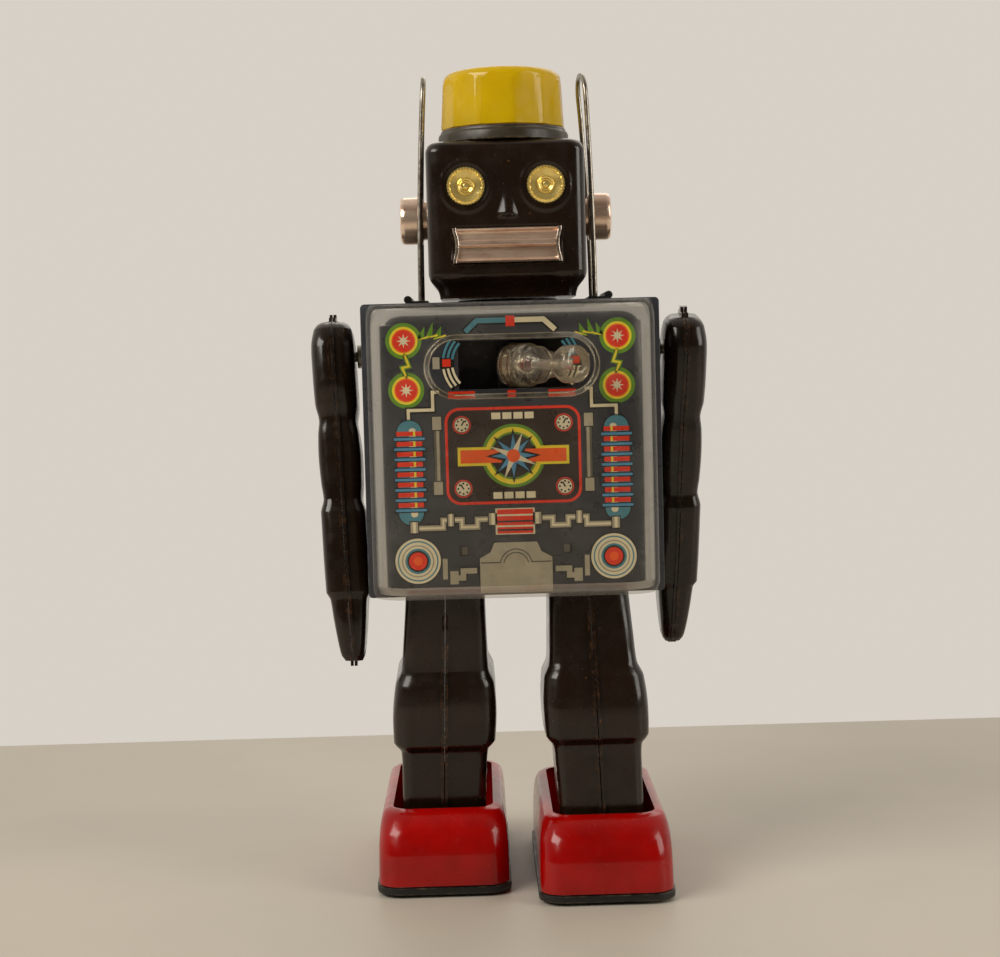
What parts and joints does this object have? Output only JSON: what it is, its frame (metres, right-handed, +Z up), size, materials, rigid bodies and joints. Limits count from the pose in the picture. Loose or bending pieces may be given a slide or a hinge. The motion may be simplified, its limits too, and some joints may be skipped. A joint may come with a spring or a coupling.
{
  "type": "wind up tin toy",
  "caption": "Walking tin toy robot with swinging legs and arms, rolling feet, a swivelling lamp gun behind a clear chest cover and a lamp dome on its head.",
  "frame": {"origin": "on the floor, under the centre of the bounding box's footprint", "axes": "+Z up, the robot faces -Y, +X is the robot's left"},
  "size_m": [0.119, 0.0948, 0.241],
  "materials": {
    "brown_tin": "gloss",
    "panel_tin": "gloss",
    "black_tin": "satin",
    "red_tin": "gloss",
    "grey_tin": "satin",
    "clear_plastic": "gloss",
    "yellow_plastic": "gloss",
    "black_plastic": "satin",
    "fibre_board": "matt",
    "chrome": "polished",
    "gold": "polished",
    "brass": "satin",
    "steel": "satin",
    "clear_glass": "gloss",
    "red_glass": "gloss",
    "cell_jacket": "satin",
    "rubber": "matt"
  },
  "bodies": {
    "torso": {"torso_shell": "brown_tin", "torso_base": "brown_tin", "front_panel": "panel_tin", "chest_cover": "clear_plastic", "gun_housing": "black_plastic", "gear_frame_left": "steel", "gear_frame_right": "steel", "hip_axle": "steel", "motor_can": "steel", "battery_tray": "fibre_board", "battery_left": "cell_jacket", "battery_right": "cell_jacket", "contact_spring_left": "steel", "contact_spring_right": "steel", "contact_strip": "brass", "head_face_shell": "brown_tin", "head_rear_cap": "brown_tin", "lamp_collar": "grey_tin", "lamp_dome": "yellow_plastic", "lamp_bulb": "clear_glass", "lamp_socket": "brass", "eye_left": "gold", "eye_right": "gold", "mouth_plate": "chrome", "ear_left": "chrome", "ear_right": "chrome", "aerial_left": "steel", "aerial_right": "steel", "aerial_clip_left": "black_tin", "aerial_clip_right": "black_tin"},
    "gun": {"gun_bracket": "black_plastic", "gun_reflector": "chrome", "gun_barrel": "clear_plastic", "gun_bulb": "red_glass"},
    "battery_door": {"battery_door": "brown_tin"},
    "power_switch": {"switch_knob": "black_plastic"},
    "crank": {"crank_shaft": "steel", "crank_gear": "brass"},
    "idler": {"idler_gear": "brass"},
    "motor_pinion": {"motor_pinion": "brass"},
    "arm_left": {"arm_left_outer": "brown_tin", "arm_left_inner": "brown_tin", "arm_left_pin": "steel"},
    "leg_left": {"leg_left_outer": "brown_tin", "leg_left_inner": "brown_tin", "leg_left_lever": "steel"},
    "foot_left": {"shoe_left": "red_tin", "sole_left": "black_tin", "ankle_pin_left": "steel"},
    "roller_left": {"roller_left": "rubber"},
    "arm_right": {"arm_right_outer": "brown_tin", "arm_right_inner": "brown_tin", "arm_right_pin": "steel"},
    "leg_right": {"leg_right_outer": "brown_tin", "leg_right_inner": "brown_tin", "leg_right_lever": "steel"},
    "foot_right": {"shoe_right": "red_tin", "sole_right": "black_tin", "ankle_pin_right": "steel"},
    "roller_right": {"roller_right": "rubber"}
  },
  "joints": [
    {"name": "leg_left_swing", "type": "hinge", "parent": "torso", "child": "leg_left", "pos_m": [0.0208, -0.01, 0.09375], "axis": [-1, 0, 0], "range_deg": [-14.5, 5.5]},
    {"name": "leg_right_swing", "type": "hinge", "parent": "torso", "child": "leg_right", "pos_m": [-0.0208, -0.01, 0.09375], "axis": [-1, 0, 0], "range_deg": [-5.5, 14.5]},
    {"name": "ankle_left", "type": "hinge", "parent": "leg_left", "child": "foot_left", "pos_m": [0.0234, -0.01643, 0.012], "axis": [-1, 0, 0], "range_deg": [-5.5, 14.5]},
    {"name": "ankle_right", "type": "hinge", "parent": "leg_right", "child": "foot_right", "pos_m": [-0.0234, -0.00357, 0.012], "axis": [-1, 0, 0], "range_deg": [-14.5, 5.5]},
    {"name": "arm_left_swing", "type": "hinge", "parent": "torso", "child": "arm_left", "pos_m": [0.0531, 0.003, 0.157], "axis": [-1, 0, 0], "range_deg": [-11, 29]},
    {"name": "arm_right_swing", "type": "hinge", "parent": "torso", "child": "arm_right", "pos_m": [-0.0531, 0.003, 0.157], "axis": [-1, 0, 0], "range_deg": [-29, 11]},
    {"name": "crank_turn", "type": "hinge", "parent": "torso", "child": "crank", "pos_m": [0, -0.01, 0.10775], "axis": [-1, 0, 0], "range_deg": [-130.5, 49.5]},
    {"name": "idler_turn", "type": "hinge", "parent": "torso", "child": "idler", "pos_m": [0, -0.00761, 0.12256], "axis": [-1, 0, 0], "range_deg": [-49.5, 130.5]},
    {"name": "motor_turn", "type": "hinge", "parent": "torso", "child": "motor_pinion", "pos_m": [0, -0.017, 0.126], "axis": [-1, 0, 0], "range_deg": [-391.5, 148.5]},
    {"name": "gun_swing", "type": "hinge", "parent": "torso", "child": "gun", "pos_m": [0, -0.02, 0.1453], "axis": [0, 0, 1], "range_deg": [-84, 0]},
    {"name": "battery_door_hinge", "type": "hinge", "parent": "torso", "child": "battery_door", "pos_m": [0, 0.0344, 0.1006], "axis": [-1, 0, 0], "range_deg": [0, 110]},
    {"name": "power_slide", "type": "slide", "parent": "torso", "child": "power_switch", "axis": [1, 0, 0], "range_m": [0, 0.006]},
    {"name": "roller_left_spin", "type": "hinge", "parent": "foot_left", "child": "roller_left", "pos_m": [0.0234, 0.01757, 0.004], "axis": [1, 0, 0], "continuous": true},
    {"name": "roller_right_spin", "type": "hinge", "parent": "foot_right", "child": "roller_right", "pos_m": [-0.0234, 0.03043, 0.004], "axis": [1, 0, 0], "continuous": true}
  ],
  "couplings": [
    {"joint": "leg_right_swing", "follows": "leg_left_swing", "ratio": -1},
    {"joint": "ankle_left", "follows": "leg_left_swing", "ratio": -1},
    {"joint": "ankle_right", "follows": "leg_left_swing", "ratio": 1},
    {"joint": "arm_left_swing", "follows": "leg_left_swing", "ratio": -2},
    {"joint": "arm_right_swing", "follows": "leg_left_swing", "ratio": 2},
    {"joint": "crank_turn", "follows": "leg_left_swing", "ratio": 9},
    {"joint": "idler_turn", "follows": "leg_left_swing", "ratio": -9},
    {"joint": "motor_turn", "follows": "leg_left_swing", "ratio": 27}
  ]
}
